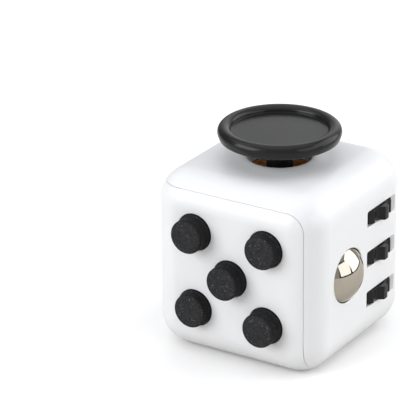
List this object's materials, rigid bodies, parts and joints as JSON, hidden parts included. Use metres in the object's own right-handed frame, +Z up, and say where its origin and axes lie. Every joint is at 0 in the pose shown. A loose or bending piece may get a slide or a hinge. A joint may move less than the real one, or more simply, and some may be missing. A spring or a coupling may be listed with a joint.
{
  "type": "fidget cube",
  "caption": "Rounded white desk fidget cube with sprung buttons, a sliding thumb disc, a roller ball with thumb wheels, a rocker switch, a turning dial and a thumb dish.",
  "frame": {"origin": "centre of the base: the middle of the overall plan, on the plane that the cube rests on", "axes": "+Z up through the glide disc, -Y out of the click buttons, +X out of the roller ball and wheels"},
  "size_m": [0.0374, 0.0383, 0.0391],
  "materials": {
    "white_shell": "satin white moulding",
    "button_rubber": "matte, lightly speckled",
    "black_plastic": "satin black moulding",
    "amber_plastic": "translucent-looking amber",
    "spring_steel": "bright",
    "nickel": "polished",
    "natural_plastic": "plain moulded",
    "silicone": "matte"
  },
  "bodies": {
    "case": {"lower_shell": "white_shell", "upper_shell": "white_shell", "click_dome_1": "silicone", "click_dome_2": "silicone", "click_dome_3": "silicone", "click_dome_4": "silicone", "click_dome_5": "silicone", "click_mat": "silicone", "click_plate": "natural_plastic", "glide_frame": "natural_plastic", "roll_bracket": "natural_plastic", "roll_spacer_1": "natural_plastic", "roll_spacer_2": "natural_plastic", "flip_cradle": "natural_plastic", "worry_frame": "natural_plastic", "click_screw_1": "spring_steel", "click_screw_2": "spring_steel", "glide_spring_x1": "spring_steel", "glide_spring_x2": "spring_steel", "glide_spring_y1": "spring_steel", "glide_spring_y2": "spring_steel", "glide_screw_1": "spring_steel", "glide_screw_2": "spring_steel", "roll_spring": "spring_steel", "roll_axle": "spring_steel", "roll_leaf": "spring_steel", "roll_screw_1": "spring_steel", "roll_screw_2": "spring_steel", "flip_pin": "spring_steel", "flip_leaf": "spring_steel", "flip_screw_1": "spring_steel", "flip_screw_2": "spring_steel", "spin_spring": "spring_steel", "spin_spring_screw": "spring_steel", "worry_screw_1": "spring_steel", "worry_screw_2": "spring_steel", "worry_pad": "black_plastic"},
    "button_1": {"click_button_1": "button_rubber"},
    "button_2": {"click_button_2": "button_rubber"},
    "button_3": {"click_button_3": "button_rubber"},
    "button_4": {"click_button_4": "button_rubber"},
    "button_5": {"click_button_5": "button_rubber"},
    "glide_cross": {"glide_carriage": "amber_plastic"},
    "glide_top": {"glide_disc": "black_plastic", "glide_stem": "black_plastic", "glide_retainer": "natural_plastic", "glide_stem_screw": "spring_steel"},
    "ball_seat": {"roll_cup": "natural_plastic"},
    "ball": {"roll_ball": "nickel"},
    "wheel_1": {"roll_wheel_1": "black_plastic"},
    "wheel_2": {"roll_wheel_2": "black_plastic"},
    "wheel_3": {"roll_wheel_3": "black_plastic"},
    "rocker": {"flip_rocker": "black_plastic"},
    "dial": {"spin_dial": "black_plastic", "spin_star": "natural_plastic", "spin_washer": "spring_steel", "spin_screw": "spring_steel"}
  },
  "joints": [
    {"name": "click_press_1", "type": "slide", "parent": "case", "child": "button_1", "axis": [0, 1, 0], "range_m": [0, 0.0012], "stiffness_N_per_m": 300, "springref_m": -0.0015, "deforming": ["click_dome_1"]},
    {"name": "click_press_2", "type": "slide", "parent": "case", "child": "button_2", "axis": [0, 1, 0], "range_m": [0, 0.0012], "stiffness_N_per_m": 300, "springref_m": -0.0015, "deforming": ["click_dome_2"]},
    {"name": "click_press_3", "type": "slide", "parent": "case", "child": "button_3", "axis": [0, 1, 0], "range_m": [0, 0.0012], "stiffness_N_per_m": 300, "springref_m": -0.0015, "deforming": ["click_dome_3"]},
    {"name": "click_press_4", "type": "slide", "parent": "case", "child": "button_4", "axis": [0, 1, 0], "range_m": [0, 0.0012], "stiffness_N_per_m": 300, "springref_m": -0.0015, "deforming": ["click_dome_4"]},
    {"name": "click_press_5", "type": "slide", "parent": "case", "child": "button_5", "axis": [0, 1, 0], "range_m": [0, 0.0012], "stiffness_N_per_m": 300, "springref_m": -0.0015, "deforming": ["click_dome_5"]},
    {"name": "glide_slide_x", "type": "slide", "parent": "case", "child": "glide_cross", "axis": [1, 0, 0], "range_m": [-0.002, 0.002], "stiffness_N_per_m": 150, "deforming": ["glide_spring_x1", "glide_spring_x2"]},
    {"name": "glide_slide_y", "type": "slide", "parent": "glide_cross", "child": "glide_top", "axis": [0, 1, 0], "range_m": [-0.002, 0.002], "stiffness_N_per_m": 150, "deforming": ["glide_spring_y1", "glide_spring_y2"]},
    {"name": "ball_press", "type": "slide", "parent": "case", "child": "ball_seat", "axis": [-1, 0, 0], "range_m": [0, 0.001], "stiffness_N_per_m": 400, "springref_m": -0.001, "deforming": ["roll_spring"]},
    {"name": "ball_roll", "type": "hinge", "parent": "ball_seat", "child": "ball", "pos_m": [0.0128, -0.0046, 0.01625], "axis": [0, 0, 1], "continuous": true},
    {"name": "wheel_turn_1", "type": "hinge", "parent": "case", "child": "wheel_1", "pos_m": [0.0124, 0.00675, 0.02409], "axis": [0, 0, 1], "continuous": true},
    {"name": "wheel_turn_2", "type": "hinge", "parent": "case", "child": "wheel_2", "pos_m": [0.0124, 0.00675, 0.0165], "axis": [0, 0, 1], "continuous": true},
    {"name": "wheel_turn_3", "type": "hinge", "parent": "case", "child": "wheel_3", "pos_m": [0.0124, 0.00675, 0.00891], "axis": [0, 0, 1], "continuous": true},
    {"name": "rocker_flip", "type": "hinge", "parent": "case", "child": "rocker", "pos_m": [0, 0.0142, 0.0165], "axis": [1, 0, 0], "range_deg": [0, 18]},
    {"name": "dial_spin", "type": "hinge", "parent": "case", "child": "dial", "pos_m": [-0.0165, 0, 0.0165], "axis": [-1, 0, 0], "continuous": true}
  ]
}
